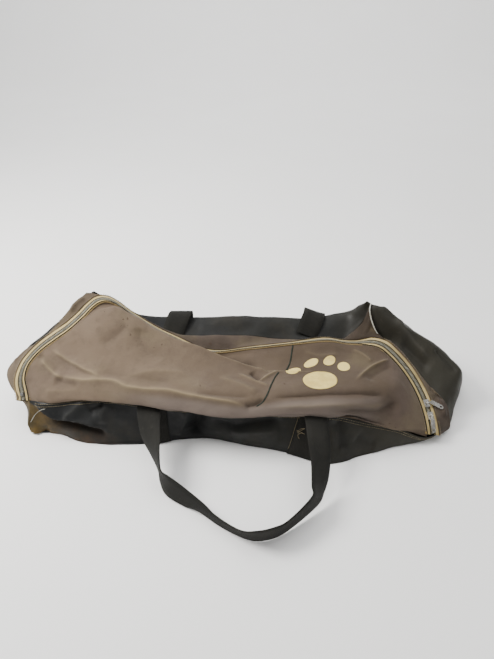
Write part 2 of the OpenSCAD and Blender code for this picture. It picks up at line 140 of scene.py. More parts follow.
# ---- fold shapes
def line_distance(points, line):
    """Signed distance to a polyline in a plane, and the fraction along it."""
    line = np.asarray(line, float)
    best = np.full(len(points), 1e9)
    signed = np.zeros(len(points))
    place = np.zeros(len(points))
    total = len(line) - 1
    for k in range(total):
        a, d = line[k], line[k + 1] - line[k]
        q = points - a
        t = np.clip((q @ d) / (d @ d), 0, 1)
        r = q - t[:, None] * d
        dist = np.linalg.norm(r, axis=1)
        sign = np.where(d[0] * q[:, 1] - d[1] * q[:, 0] >= 0, 1.0, -1.0)
        near = dist < best
        best = np.where(near, dist, best)
        signed = np.where(near, dist * sign, signed)
        place = np.where(near, (k + t) / total, place)
    return signed, place


FOLD_END = 0.2


def fold(grid, line, height, width, step=0.0, plane=(0, 1)):
    """Height of a fold line over a grid: a ridge or valley, with a step on its left side."""
    pts = grid.reshape(-1, 3)[:, list(plane)]
    d, t = line_distance(pts, at(line, np.linspace(0, len(line) - 1, 4 * len(line))))
    ends = smoothstep(np.minimum(t, 1 - t) / FOLD_END)
    ridge = height * np.exp(-(np.abs(d) / width) ** 1.4)
    side = step * smoothstep(0.5 + d / width) * np.exp(-np.maximum(d, 0) / (6 * width))
    return ((ridge + side) * ends).reshape(grid.shape[:2])


def lumps(grid, size, height, seed):
    """Soft uneven height over a grid, with features of about the given size."""
    p = grid.reshape(-1, 3) / size + seed * 7.3
    h = [noise.noise(Vector(q)) + 0.5 * noise.noise(Vector(q * 2.1)) for q in p]
    return height * np.asarray(h).reshape(grid.shape[:2])


def edge_fade(grid, rows=(0.05, 0.05), columns=(0.03, 0.03)):
    """1 inside a grid and 0 at its edges, so that neighbours still meet."""
    nv, nu = grid.shape[:2]
    v = np.linspace(0, 1, nv)[:, None]
    u = np.linspace(0, 1, nu)[None, :]
    f = np.ones((nv, nu))
    for x, (low, high) in ((v, rows), (u, columns)):
        f = f * smoothstep(x / low) * smoothstep((1 - x) / high)
    return f


def crumpled(grid, sizes, side=1, rows=(0.05, 0.05), columns=(0.03, 0.03)):
    """The grid with lumps of each (size, height, seed), none at its edges."""
    height = sum(lumps(grid, *row) for row in sizes)
    faded = height[..., None] * edge_fade(grid, rows, columns)[..., None]
    return grid + faded * normals(grid, side)


# ---- meshes
def new_mesh(name, verts, faces):
    me = bpy.data.meshes.new(name)
    me.from_pydata([tuple(v) for v in np.asarray(verts)], [], [tuple(f) for f in faces])
    me.polygons.foreach_set("use_smooth", [True] * len(me.polygons))
    ob = bpy.data.objects.new(name, me)
    bpy.context.scene.collection.objects.link(ob)
    return ob


def set_uv(ob, uv):
    """uv: one pair for each vertex, in metres of cloth."""
    me = ob.data
    layer = me.uv_layers.new(name="cloth")
    loops = np.empty(len(me.loops), int)
    me.loops.foreach_get("vertex_index", loops)
    layer.data.foreach_set("uv", np.asarray(uv, np.float32)[loops].ravel())


def set_value(ob, name, values):
    a = ob.data.attributes.new(name, "FLOAT", "POINT")
    a.data.foreach_set("value", np.asarray(values, np.float32).ravel())


def grid_faces(nu, nv, flip=False, wrap=False):
    faces = []
    for j in range(nv if wrap else nv - 1):
        k = (j + 1) % nv
        for i in range(nu - 1):
            f = (j * nu + i, j * nu + i + 1, k * nu + i + 1, k * nu + i)
            faces.append(f[::-1] if flip else f)
    return faces


def thicken(ob, thickness, side):
    m = ob.modifiers.new("thickness", "SOLIDIFY")
    m.thickness = thickness * MM
    m.offset = side
    m.use_even_offset = False


def cloth(name, grid, thickness, side=1, marks=None):
    """Cloth piece along a grid, given thickness on its inner side."""
    nv, nu = grid.shape[:2]
    ob = new_mesh(name, metres(grid).reshape(-1, 3), grid_faces(nu, nv, flip=side < 0))
    run = np.linalg.norm(np.diff(grid, axis=1), axis=2).mean(axis=0)
    rise = np.linalg.norm(np.diff(grid, axis=0), axis=2).mean(axis=1)
    u = np.concatenate([[0], np.cumsum(run)]) * MM
    v = np.concatenate([[0], np.cumsum(rise)]) * MM
    uu, vv = np.meshgrid(u, v)
    set_uv(ob, np.stack([uu.ravel(), vv.ravel()], axis=1))
    for key, value in (marks or {}).items():
        set_value(ob, key, value)
    thicken(ob, thickness, -1)
    return ob


def closed_band(name, pts, u, x, flip=False):
    """Closed band from one row of points for each corner of its profile."""
    m, n = pts.shape[:2]
    faces = grid_faces(n, m, wrap=True, flip=flip)
    faces.append([j * n for j in range(m)])
    faces.append([j * n + n - 1 for j in range(m - 1, -1, -1)])
    ob = new_mesh(name, metres(pts.reshape(-1, 3)), faces)
    set_uv(ob, np.stack([np.tile(u, m), np.repeat(x, n)], axis=1) * MM)
    return ob


def swept(name, centre, across, up, profile):
    """Closed band: a profile of (across, up) pairs swept along centre points."""
    centre, across, up = (np.asarray(a, float) for a in (centre, across, up))
    prof = np.asarray(profile, float)
    pts = (centre[None] + prof[:, 0, None, None] * across[None]
           + prof[:, 1, None, None] * up[None])
    return closed_band(name, pts, run_along(centre), prof[:, 0])


def tube(name, path, radius, sides=8):
    path = np.asarray(path, float)
    t = unit(np.gradient(path, axis=0))
    ref = np.where(np.abs(t[:, 2:3]) > 0.9, np.array([[1.0, 0, 0]]), np.array([[0, 0, 1.0]]))
    a = unit(np.cross(t, ref))
    b = np.cross(a, t)
    ang = np.arange(sides) * 2 * math.pi / sides
    prof = [(radius * math.cos(q), radius * math.sin(q)) for q in ang]
    return swept(name, path, a, b, prof)


def merge(name, parts):
    """One object from (vertices, faces) pairs, vertices already in metres."""
    verts, faces, n = [], [], 0
    for v, f in parts:
        verts.append(np.asarray(v))
        faces += [[n + i for i in face] for face in f]
        n += len(v)
    return new_mesh(name, np.concatenate(verts), faces)


def ring_faces(rings, sides, flip=False):
    """Faces of a closed bead made of rings of points, with both ends capped."""
    faces = [(j * sides + i, j * sides + (i + 1) % sides,
              (j + 1) * sides + (i + 1) % sides, (j + 1) * sides + i)
             for j in range(rings - 1) for i in range(sides)]
    faces.append(tuple(range(sides))[::-1])
    faces.append(tuple((rings - 1) * sides + i for i in range(sides)))
    return [f[::-1] for f in faces] if flip else faces


def stitches(name, path, ups, length, radius, pitch=5.0, sides=5):
    """A row of thread stitches along a path, each a small arched bead."""
    run = run_along(path)
    steps = np.array([0, 0.25, 0.75, 1.0])
    rise = np.array([-0.6, 0.5, 0.5, -0.6]) * radius
    rad = np.array([0.45, 1, 1, 0.45]) * radius
    ang = np.arange(sides) * 2 * math.pi / sides
    faces = ring_faces(len(steps), sides)
    parts = []
    for k in range(int(run[-1] / pitch)):
        s = (k + 0.5) * pitch - length / 2 + steps * length
        c, up = at_run(path, run, s), unit(at_run(ups, run, s))
        t = unit(c[-1] - c[0])
        wide = unit(np.cross(t, up))
        c = c + rise[:, None] * up
        pts = (c[:, None] + rad[:, None, None] * (np.cos(ang)[None, :, None] * wide[:, None]
                                                 + np.sin(ang)[None, :, None] * up[:, None]))
        parts.append((metres(pts.reshape(-1, 3)), faces))
    return merge(name, parts)


# ---- colours and nodes
def lin(r, g, b):
    out = []
    for c in (r, g, b):
        c = c / 255
        out.append(c / 12.92 if c <= 0.04045 else ((c + 0.055) / 1.055) ** 2.4)
    return (*out, 1.0)


class Nodes:
    """Small helper that adds shader nodes and wires them up."""

    def __init__(self, name):
        self.mat = bpy.data.materials.new(name)
        self.mat.use_nodes = True
        self.tree = self.mat.node_tree
        self.shader = self.tree.nodes["Principled BSDF"]

    def add(self, kind, **values):
        node = self.tree.nodes.new(kind)
        for key, value in values.items():
            setattr(node, key, value)
        return node

    def put(self, socket, value):
        if isinstance(value, bpy.types.NodeSocket):
            self.tree.links.new(value, socket)
        else:
            socket.default_value = value

    def uv(self):
        return self.add("ShaderNodeUVMap", uv_map="cloth").outputs[0]

    def place(self):
        return self.add("ShaderNodeTexCoord").outputs["Object"]

    def attribute(self, name):
        return self.add("ShaderNodeAttribute", attribute_name=name).outputs["Fac"]

    def noise(self, vector, scale, detail=3.0, rough=0.5, stretch=None):
        if stretch:
            mapped = self.add("ShaderNodeMapping")
            self.put(mapped.inputs["Vector"], vector)
            mapped.inputs["Scale"].default_value = stretch
            vector = mapped.outputs[0]
        n = self.add("ShaderNodeTexNoise")
        self.put(n.inputs["Vector"], vector)
        n.inputs["Scale"].default_value = scale
        n.inputs["Detail"].default_value = detail
        n.inputs["Roughness"].default_value = rough
        return n.outputs["Fac"]

    def ramp(self, value, low, high, a=0.0, b=1.0):
        n = self.add("ShaderNodeMapRange")
        n.interpolation_type = "SMOOTHSTEP"
        self.put(n.inputs["Value"], value)
        for key, v in (("From Min", low), ("From Max", high), ("To Min", a), ("To Max", b)):
            n.inputs[key].default_value = v
        return n.outputs["Result"]

    def math(self, op, a, b=0.0, c=0.0):
        n = self.add("ShaderNodeMath", operation=op)
        for socket, value in zip(n.inputs, (a, b, c)):
            self.put(socket, value)
        return n.outputs[0]

    def mix(self, fac, a, b):
        n = self.add("ShaderNodeMix", data_type="RGBA")
        self.put(n.inputs[0], fac)
        self.put(n.inputs[6], a)
        self.put(n.inputs[7], b)
        return n.outputs[2]

    def split(self, vector):
        n = self.add("ShaderNodeSeparateXYZ")
        self.put(n.inputs[0], vector)
        return n.outputs

    def bump(self, height, strength, distance, normal=None):
        n = self.add("ShaderNodeBump")
        self.put(n.inputs["Height"], height)
        n.inputs["Strength"].default_value = strength
        n.inputs["Distance"].default_value = distance
        if normal is not None:
            self.put(n.inputs["Normal"], normal)
        return n.outputs[0]

    def set(self, **values):
        for key, value in values.items():
            self.put(self.shader.inputs[key.replace("_", " ")], value)
        return self.mat

    def weave(self, uv, pitch, ribs=False):
        """Height of woven threads, each pitch metres wide."""
        waves = [self.math("SINE", self.math("MULTIPLY", axis, math.pi / pitch))
                 for axis in list(self.split(uv))[:2]]
        return self.math("ABSOLUTE", waves[1]) if ribs else self.math("MULTIPLY", *waves)

    def uneven(self, place, scale, spread, light, dark):
        """Two colours mixed by noise."""
        return self.mix(self.ramp(self.noise(place, scale, 4, 0.6), *spread), light, dark)

    def patches(self, base, place, *rows):
        """Noise patches: (scale, detail, roughness, from, to, amount, colour) each."""
        for scale, detail, rough, low, high, amount, colour in rows:
            spots = self.ramp(self.noise(place, scale, detail, rough), low, high, 0, amount)
            base = self.mix(spots, base, lin(*colour))
        return base

    def marks(self, base, **rows):
        """Colour where an attribute is set: its amount and its colour each."""
        for name, (amount, colour) in rows.items():
            base = self.mix(self.math("MULTIPLY", self.attribute(name), amount), base, colour)
        return base


def canvas_material(name, left, right, turn):
    """Worn canvas going from its left colour to its right one about x = turn; the darkening is
    partly painted shade.
    """
    k = Nodes(name)
    uv, place = k.uv(), k.place()
    x = k.split(place)[0]
    base = k.mix(k.ramp(x, turn - 0.28, turn + 0.28), left, right)
    base = k.patches(base, place, (5, 4, 0.6, 0.42, 0.7, 0.3, (104, 90, 86)),
                     (14, 5, 0.65, 0.48, 0.75, 0.3, (70, 59, 49)),
                     (9, 3, 0.5, 0.52, 0.7, 0.3, (108, 98, 74)))
    specks = k.ramp(k.noise(place, 95, 2, 0.5), 0.68, 0.74)
    rare = k.ramp(k.noise(place, 11, 2, 0.5), 0.46, 0.58)
    base = k.mix(k.math("MULTIPLY", k.math("MULTIPLY", specks, rare), 0.75), base, lin(50, 34, 26))
    base = k.patches(base, place, (42, 6, 0.7, 0.45, 0.75, 0.3, (62, 52, 46)))
    # Roll colour is painted shade tinted purple-grey; pale crests are wear with painted highlight;
    # shade is painted shade.
    base = k.marks(base, dust=(0.6, lin(112, 102, 97)), wear=(0.55, lin(152, 136, 106)),
                   shade=(0.75, lin(44, 36, 32)))
    threads = k.weave(uv, 0.0009)
    base = k.mix(k.ramp(threads, -1, 1, 0.0, 0.14), base, lin(136, 122, 104))
    fuzz = k.noise(uv, 900, 2, 0.6)
    n = k.bump(threads, 0.25, 0.0004)
    n = k.bump(fuzz, 0.2, 0.0004, n)
    n = k.bump(k.noise(place, 22, 4, 0.55), 0.4, 0.004, n)
    n = k.bump(k.noise(place, 60, 4, 0.6), 0.25, 0.0015, n)
    return k.set(Base_Color=base, Roughness=k.ramp(fuzz, 0.3, 0.7, 0.82, 0.95), Normal=n,
                 Sheen_Weight=0.06, Sheen_Roughness=0.5, Specular_IOR_Level=0.15)


def coated_material(name):
    """Charcoal coated nylon, stained ochre and brown where the stain attribute says so."""
    k = Nodes(name)
    uv, place = k.uv(), k.place()
    x = k.split(place)[0]
    base = k.uneven(place, 4, (0.38, 0.68), lin(24, 25, 26), lin(33, 33, 30))
    base = k.patches(base, place, (9, 5, 0.65, 0.5, 0.75, 0.6, (44, 40, 31)))
    base = k.mix(k.math("MULTIPLY", k.ramp(x, 0.12, 0.3), 0.6), base, lin(50, 47, 38))
    base = k.patches(base, place, (60, 6, 0.7, 0.58, 0.8, 0.16, (92, 88, 78)))
    blotch = k.ramp(k.noise(place, 26, 6, 0.68), 0.36, 0.66)
    stain = k.mix(k.ramp(x, -0.44, -0.36), k.mix(blotch, lin(90, 72, 34), lin(62, 52, 30)),
                  k.mix(blotch, lin(72, 56, 42), lin(50, 45, 38)))
    # Pale fold crests are painted highlight with some wear; fold shade is painted shade.
    base = k.marks(base, stain=(0.9, stain), wear=(0.35, lin(96, 94, 88)),
                   shade=(0.7, lin(13, 13, 13)))
    threads = k.weave(uv, 0.0011, ribs=True)
    n = k.bump(threads, 0.14, 0.0003)
    n = k.bump(k.noise(place, 140, 4, 0.6), 0.15, 0.0008, n)
    n = k.bump(k.noise(place, 16, 4, 0.5, (1, 1, 0.5)), 0.4, 0.005, n)
    rough = k.ramp(k.noise(place, 20, 4, 0.6), 0.3, 0.7, 0.45, 0.68)
    return k.set(Base_Color=base, Roughness=rough, Normal=n, Specular_IOR_Level=0.2)


def webbing_material(name):
    k = Nodes(name)
    uv, place = k.uv(), k.place()
    x, y = list(k.split(uv))[:2]
    base = k.uneven(place, 12, (0.4, 0.7), lin(25, 25, 23), lin(34, 33, 30))
    base = k.patches(base, place, (70, 5, 0.7, 0.6, 0.8, 0.25, (80, 77, 68)))
    warp = k.math("SINE", k.math("MULTIPLY", y, 2 * math.pi / 0.0026))
    weft = k.math("SINE", k.math("ADD", k.math("MULTIPLY", x, 2 * math.pi / 0.0022),
                                 k.math("MULTIPLY", y, 900.0)))
    height = k.math("MULTIPLY_ADD", weft, 0.5, warp)
    base = k.mix(k.ramp(height, -1.5, 1.5, 0.0, 0.25), base, lin(52, 50, 45))
    n = k.bump(height, 0.35, 0.0005)
    n = k.bump(k.noise(uv, 1200, 2, 0.6), 0.15, 0.0003, n)
    return k.set(Base_Color=base, Roughness=0.85, Normal=n, Sheen_Weight=0.03,
                 Specular_IOR_Level=0.15)


def tape_material(name):
    k = Nodes(name)
    uv, place = k.uv(), k.place()
    x, y = list(k.split(uv))[:2]
    out = k.math("ABSOLUTE", y)
    base = k.uneven(place, 14, (0.4, 0.7), lin(182, 162, 112), lin(150, 132, 88))
    base = k.patches(base, place, (60, 4, 0.7, 0.58, 0.75, 0.35, (140, 126, 92)))
    # Dark band just past the teeth on each side: partly the tape's cord, partly painted shadow of
    # the teeth.
    line = k.math("SUBTRACT", k.ramp(out, 0.0032, 0.0034), k.ramp(out, 0.0060, 0.0064))
    base = k.mix(k.math("MULTIPLY", line, 0.95), base, lin(30, 30, 25))
    edge = k.ramp(out, 0.0112, 0.0128)
    base = k.mix(k.math("MULTIPLY", edge, 0.75), base, lin(112, 90, 50))
    ribs = k.math("SINE", k.math("MULTIPLY", y, 2 * math.pi / 0.0011))
    knit = k.math("SINE", k.math("MULTIPLY", x, 2 * math.pi / 0.0009))
    height = k.math("MULTIPLY", ribs, knit)
    n = k.bump(height, 0.3, 0.0004)
    n = k.bump(line, 0.5, 0.0006, n)
    return k.set(Base_Color=base, Roughness=0.85, Normal=n, Sheen_Weight=0.1,
                 Specular_IOR_Level=0.25)


def plain_material(name, light, dark, rough, metal=0.0, scale=60.0, grain=0.1, specular=0.5):
    """Finish with uneven colour and fine grain, for small hard or threadlike pieces."""
    k = Nodes(name)
    place = k.place()
    base = k.mix(k.ramp(k.noise(place, scale, 5, 0.6), 0.38, 0.7), light, dark)
    n = k.bump(k.noise(place, scale * 9, 4, 0.6), grain, 0.0004)
    spread = k.ramp(k.noise(place, scale * 2.3, 4, 0.6), 0.3, 0.7, rough * 0.8, rough * 1.2)
    return k.set(Base_Color=base, Roughness=spread, Normal=n, Metallic=metal,
                 Specular_IOR_Level=specular)


def print_material(name):
    k = Nodes(name)
    uv, place = k.uv(), k.place()
    base = k.uneven(place, 30, (0.4, 0.7), lin(220, 197, 118), lin(198, 174, 98))
    cracks = k.ramp(k.noise(place, 260, 5, 0.75), 0.62, 0.7)
    base = k.mix(k.math("MULTIPLY", cracks, 0.7), base, lin(122, 108, 92))
    n = k.bump(k.weave(uv, 0.0009), 0.2, 0.0003)
    n = k.bump(cracks, -0.3, 0.0003, n)
    return k.set(Base_Color=base, Roughness=0.6, Normal=n, Specular_IOR_Level=0.35)


# Lid canvas: lighter on the left, darker on the right, partly its own tone and partly painted
# shade for light falling off to the right.
CANVAS = canvas_material("canvas_cloth", lin(106, 91, 76), lin(68, 57, 46), -0.08)
# The band's canvas is a darker copy of the lid's: painted shade for the band recessed behind the
# lid, darkest on the right.
SHADED_BAND_CANVAS = canvas_material("canvas_band_painted_shade", lin(92, 80, 62), lin(44, 37, 31), -0.32)
COATED = coated_material("coated_cloth")
WEBBING = webbing_material("webbing_weave")
TAPE = tape_material("zip_tape_weave")
TEETH = plain_material("zip_coil", lin(134, 131, 116), lin(106, 103, 90), 0.5, scale=90)
NICKEL = plain_material("worn_nickel", lin(224, 222, 216), lin(176, 173, 166), 0.25, metal=1.0,
                        scale=45, grain=0.05)
PIPING = plain_material("piping_vinyl", lin(196, 194, 184), lin(150, 146, 132), 0.5, scale=50)
OLD_PIPING = plain_material("dirty_piping", lin(84, 74, 60), lin(58, 51, 43), 0.6, scale=50)
PRINT = print_material("screen_print")
LINE = plain_material("printed_line", lin(36, 42, 37), lin(48, 52, 45), 0.85, scale=140,
                      specular=0.1)
THREAD = plain_material("pale_thread", lin(146, 134, 108), lin(108, 98, 76), 0.85, scale=150,
                        specular=0.1)
# Near-black colour for the seam and painted shadow line along the lid's cloth edge.
SEAM_SHADOW_DARK = plain_material("seam_shadow_dark", lin(46, 40, 36), lin(30, 27, 24), 0.85, scale=150,
                             specular=0.1)


def finish_piece(ob, material, body=None, nodes=()):
    """Material, body, colour slot and replaced nodes of a piece. Blended pieces have no body."""
    ob.data.materials.append(material)
    if body:
        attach(ob, body)
    if nodes:
        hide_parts(*nodes)
    return ob


# ---- rails, left to right
FOOT_Z = 4.6


def foot_rail(*places):
    """Rail along the foot of a wall, at one height."""
    return [(x, y, FOOT_Z) for x, y in places]


front_foot = foot_rail(
    (-445, -112), (-392, -112), (-340, -132), (-270, -139), (-190, -137), (-100, -124),
    (-10, -140), (80, -160), (160, -186), (230, -168), (300, -147), (360, -132), (404, -112))
front_seam = [
    (-436, -84, 73), (-392, -94, 77), (-340, -92, 82), (-270, -98, 89), (-190, -112, 87),
    (-100, -130, 90), (-10, -138, 86), (80, -136, 88), (160, -135, 84), (230, -135, 64),
    (300, -134, 43), (352, -139, 20), (398, -119, 10)]
FOLD_RISE = [4, 5, 5, 5, 4, 4, 4, 4, 4, 4, 4]
fold_foot = [(x, y, z + rise) for (x, y, z), rise in zip(front_seam, FOLD_RISE)]
fold_foot.append((353, -137, 27))
fold_front = [
    (-437, -72, 90), (-392, -90, 90), (-340, -97, 93), (-270, -110, 98), (-190, -127, 101),
    (-100, -146, 101), (-10, -153, 96), (80, -145, 99), (160, -143, 97), (230, -136, 90),
    (300, -113, 81), (352, -96, 48)]
fold_top = [
    (-439, -42, 118), (-391, -48, 121), (-340, -64, 123), (-270, -85, 124),
    (-190, -101, 127), (-100, -114, 125), (-10, -127, 116), (80, -112, 120),
    (160, -108, 122), (230, -104, 120), (295, -82, 107), (340, -55, 71)]
lid_middle = [
    (-387, 1, 160), (-345, 0, 161), (-292, -5, 160), (-240, -15, 150), (-190, -32, 138),
    (-100, -56, 121), (-10, -74, 112), (80, -45, 108), (160, -40, 110), (230, -36, 114),
    (285, -30, 108), (320, -22, 91)]
lid_ridge = [
    (-338, 39, 184), (-314, 56, 192), (-284, 63, 195), (-245, 56, 180), (-190, 38, 154),
    (-100, 8, 128), (0, -25, 108), (90, -5, 105), (170, 8, 112), (222, 10, 112),
    (262, 8, 113), (298, 3, 108)]
lid_back = [
    (-306, 70, 197), (-292, 74, 191), (-272, 74, 182), (-244, 68, 167), (-178, 47, 132),
    (-92, 20, 107), (7, 26, 109), (94, 31, 116), (171, 36, 122), (216, 37, 116),
    (250, 31, 117), (282, 15, 119)]
zip_line = [
    (-458, -76, 75), (-464, -55, 100), (-458, -35, 120), (-446, -19, 133), (-428, -1, 145),
    (-402, 16, 158), (-377, 31, 170), (-354, 54, 182), (-336, 74, 194), (-320, 88, 200),
    (-302, 95, 197), (-280, 95, 183), (-250, 88, 160), (-180, 65, 125), (-92, 38, 104),
    (7, 45, 109), (94, 50, 117), (171, 55, 124), (216, 56, 116), (250, 50, 119),
    (275, 42, 121)]
zip_face = [
    (-2, -7, 6), (-3, -5, 8), (-4, -4, 8), (-4, -3, 9), (-4, -3, 9), (-4, -3, 9),
    (-4, -3, 9), (-3, -2, 9), (-2, -1, 9), (0, 0, 9), (3, 2, 9), (3, 3, 8), (3, 4, 8),
    (2, 4, 9), (0, 1, 9), (0, 0, 9), (0, 0, 9), (0, -1, 9), (0, -1, 9), (1, -2, 9),
    (2, -3, 9)]
left_edge = [
    (-448, -83, 63), (-482, -60, 73), (-503, -30, 90), (-494, -9, 107), (-458, 8, 130),
    (-429, 21, 147), (-394, 58, 173), (-372, 84, 191), (-349, 109, 204)]
left_bulge = [
    (-449, -86, 58), (-480, -61, 64), (-499, -30, 77), (-491, -8, 93), (-469, 18, 121),
    (-443, 31, 138), (-400, 67, 166), (-373, 92, 183), (-346, 113, 196)]
back_edge = [
    (-338, 111, 203), (-300, 114, 173), (-240, 104, 129), (-140, 76, 99), (-95, 82, 105),
    (7, 82, 105), (63, 82, 97), (120, 78, 97), (187, 78, 98), (221, 79, 100),
    (256, 88, 138), (271, 97, 180)]
corner_edge = [(270, 96, 184), (268, 87, 169), (275, 73, 145), (290, 61, 121), (315, 50, 117)]
right_edge = [
    (315, 50, 117), (334, 24, 108), (357, -6, 91), (380, -40, 71), (400, -58, 61),
    (413, -73, 49), (418, -88, 37), (419, -107, 16), (405, -116, 10)]
back_ridge = [
    (-338, 117, 197), (-300, 124, 170), (-245, 126, 130), (-155, 130, 120), (-95, 130, 122),
    (7, 130, 124), (63, 130, 121), (123, 130, 117), (187, 130, 126), (236, 130, 140),
    (254, 122, 162), (269, 103, 181)]
back_mid = [
    (-370, 142, 118), (-320, 148, 95), (-250, 151, 72), (-155, 157, 62), (-95, 158, 62),
    (7, 158, 62), (63, 158, 60), (123, 158, 60), (187, 157, 64), (236, 156, 70),
    (300, 150, 85), (364, 129, 95)]
back_foot = foot_rail(
    (-428, 149), (-350, 151), (-250, 152), (-155, 152), (-95, 152), (7, 152), (63, 152),
    (123, 152), (187, 152), (270, 152), (370, 151), (464, 148))
left_mid = [
    (-446, -100, 35), (-460, -75, 40), (-468, -40, 45), (-472, 0, 50), (-472, 40, 60),
    (-465, 80, 75), (-450, 112, 88), (-425, 132, 100), (-373, 140, 118)]
left_foot = foot_rail(
    (-446, -111), (-453, -90), (-458, -50), (-462, 0), (-462, 50), (-458, 95), (-452, 120),
    (-444, 138), (-429, 148))
right_top = [
    (275, 97, 185), (283, 75, 148), (308, 53, 117), (335, 26, 106), (358, -5, 89),
    (381, -39, 69), (401, -58, 60), (414, -73, 48), (419, -88, 36), (420, -107, 15),
    (407, -115, 8)]
right_ridge = [
    (280, 100, 184), (299, 92, 176), (324, 74, 158), (362, 59, 139), (399, 46, 120),
    (430, 22, 100), (459, -4, 80), (456, -30, 50), (447, -50, 22), (428, -89, 11),
    (409, -110, 7)]
right_foot = foot_rail(
    (465, 147), (477, 135), (490, 115), (500, 95), (503, 78), (500, 55), (488, 25), (472, -10),
    (456, -35), (430, -82), (406, -110))

ARC_CENTRE = np.array([147.0, -140.0, 68.0])
ARC_NORMAL = unit(np.array([0.18, -0.44, 0.88]))
ARC_R = 232.0
_low = np.array([375.0, -136.0, 22.0]) - ARC_CENTRE
ARC_X = unit(_low - (_low @ ARC_NORMAL) * ARC_NORMAL)
ARC_Y = np.cross(ARC_NORMAL, ARC_X)
ARC_TOP, ARC_LOW = 53.0, 0.5                 # degrees
ZIP_END = len(zip_line) - 1


def zip_frame(s):
    """Middle of the teeth, direction outwards and direction up, along left and back legs."""
    s = np.asarray(s, float)
    t = heading(zip_line, s)
    f = at(zip_face, s)
    n = unit(f - (f * t).sum(axis=1, keepdims=True) * t)
    return at(zip_line, s), np.cross(n, t), n


def arc_frame(angle):
    a = np.radians(np.asarray(angle, float))[:, None]
    out = ARC_X * np.cos(a) + ARC_Y * np.sin(a)
    return ARC_CENTRE + ARC_R * out, out, np.repeat(ARC_NORMAL[None], len(a), axis=0)


CLOTH_AT = 13.0                              # edge of the cloth, from the middle of the zip
CLOTH_LIFT = 1.2
BACK_TILT = 30.0
TILT_FROM, TILT_TO = 13.2, 20.2              # these four are places on zip_line
LEFT_TO, BACK_FROM = 8.4, 9.6
ZIP_START = -0.3
N_BACK, N_ARC, N_JOIN = 300, 120, 8
along_back = np.linspace(ZIP_START, ZIP_END - 0.25, N_BACK)


def zip_route():
    """Both legs as one route: middle, outwards and up, from the left end to the right.
    Behind the lid the tapes lean back about the lid's edge."""
    s = along_back
    c1, o1, u1 = zip_frame(s)
    lean = (np.radians(BACK_TILT) * smoothstep((s - TILT_FROM) / 1.4)
            * smoothstep((TILT_TO - s) / 1.6))
    cos, sin = np.cos(lean)[:, None], np.sin(lean)[:, None]
    edge = c1 - CLOTH_AT * o1
    o1, u1 = cos * o1 - sin * u1, cos * u1 + sin * o1
    c1 = edge + CLOTH_AT * o1
    c2, o2, u2 = arc_frame(np.linspace(ARC_TOP - 2.0, ARC_LOW, N_ARC))
    k = np.arange(1, N_JOIN)[:, None] / N_JOIN
    gap = np.linalg.norm(c2[0] - c1[-1])
    t1, t2 = unit(c1[-1] - c1[-2]) * gap, unit(c2[1] - c2[0]) * gap
    c = ((2 * k**3 - 3 * k**2 + 1) * c1[-1] + (k**3 - 2 * k**2 + k) * t1
         + (-2 * k**3 + 3 * k**2) * c2[0] + (k**3 - k**2) * t2)
    o, u = unit(o1[-1] * (1 - k) + o2[0] * k), unit(u1[-1] * (1 - k) + u2[0] * k)
    return [np.concatenate(x) for x in ((c1, c, c2), (o1, o, o2), (u1, u, u2))]


# ---- camera, floor and lights
camera = bpy.data.cameras.new("camera")
camera.lens = 27.04
camera.sensor_width = 36
cam = bpy.data.objects.new("camera", camera)
cam.location = (0.0026, -0.7255, 0.805)
cam.rotation_euler = (math.radians(52), 0, 0)
bpy.context.scene.collection.objects.link(cam)
bpy.context.scene.camera = cam

FLOOR = 6.0
BACK_CURVE = 3.0
bends = np.linspace(0, math.pi / 2, 13)
profile = [(-FLOOR, 0.0)] + [(BACK_CURVE + math.sin(a), 1 - math.cos(a)) for a in bends]
profile.append((BACK_CURVE + 1, FLOOR))
floor = new_mesh("floor", [(side * FLOOR, y, z) for y, z in profile for side in (-1, 1)],
                 grid_faces(2, len(profile)))
kf = Nodes("floor_paint")
floor.data.materials.append(kf.set(
    Base_Color=kf.mix(kf.noise(kf.place(), 3, 3), lin(246, 245, 243), lin(250, 250, 249)),
    Roughness=0.9))

world = bpy.data.worlds.new("studio")
world.use_nodes = True
world.node_tree.nodes["Background"].inputs[0].default_value = (1.0, 1.0, 1.0, 1)
world.node_tree.nodes["Background"].inputs[1].default_value = 0.34
bpy.context.scene.world = world


def area_light(name, place, target, size, power, colour=(1, 1, 1)):
    data = bpy.data.lights.new(name, "AREA")
    data.shape = "RECTANGLE"
    data.size, data.size_y = size
    data.energy = power
    data.color = colour
    ob = bpy.data.objects.new(name, data)
    ob.location = place
    ob.rotation_euler = (Vector(target) - Vector(place)).to_track_quat("-Z", "Y").to_euler()
    bpy.context.scene.collection.objects.link(ob)


area_light("key", (-1.3, 0.2, 1.4), (-0.1, 0, 0), (0.7, 0.7), 52, (1.0, 0.985, 0.96))
area_light("softbox", (0.1, 0.4, 2.2), (0, 0, 0), (3.0, 2.2), 50)
area_light("backdrop", (0, 2.4, 2.6), (0, 4, 0.8), (6.0, 1.2), 110)
area_light("fill", (1.3, -1.3, 1.2), (0, 0, 0), (1.2, 1.2), 6)

# ---- dark tub
def tuck(rail, inset=10.0, z=0.8):
    """A foot rail turned in under the bag."""
    r = np.array(rail, float)
    r += unit(r * [-1, -1, 0]) * inset
    r[:, 2] = z
    return r


FOLD_GAIN = 1.4
FLOOR_GAP = 1.5
WALL_CLOTH = 1.4
BOTTOM_CLOTH = 2.5
CANVAS_CLOTH = 1.2


